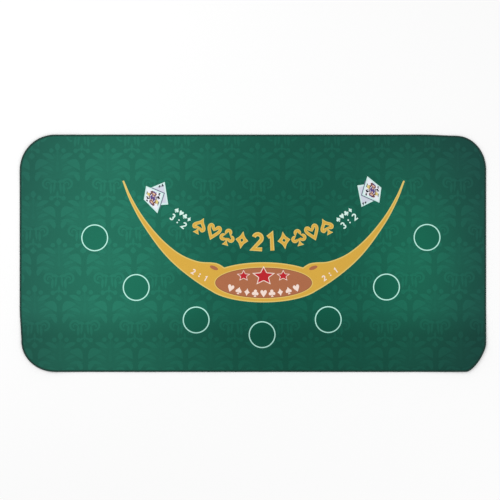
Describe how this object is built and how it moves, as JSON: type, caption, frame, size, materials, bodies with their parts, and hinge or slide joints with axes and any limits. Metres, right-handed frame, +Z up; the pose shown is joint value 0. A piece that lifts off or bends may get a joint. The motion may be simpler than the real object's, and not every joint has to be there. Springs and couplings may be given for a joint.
{
  "type": "blackjack table mat",
  "caption": "Roll-up blackjack layout mat: printed cloth on a rubber foam core with an anti-slip underside and an overlocked edge.",
  "frame": {"origin": "centre of the mat's underside, on the surface it lies on", "axes": "+X along the mat's length, +Y to the dealer's side, +Z up out of the printed face"},
  "size_m": [1.8, 0.916, 0.0035],
  "materials": {
    "printed_cloth": "dye-printed polyester knit, matt with a faint sheen",
    "foam_core": "closed-cell foam, matt",
    "antislip_backing": "embossed solid rubber skin, matt",
    "overlock_thread": "dark green spun polyester thread"
  },
  "bodies": {
    "root": {"printed_cloth": "printed_cloth", "foam_core": "foam_core", "antislip_backing": "antislip_backing", "needle_thread": "overlock_thread", "upper_looper_thread": "overlock_thread", "lower_looper_thread": "overlock_thread"}
  },
  "joints": []
}
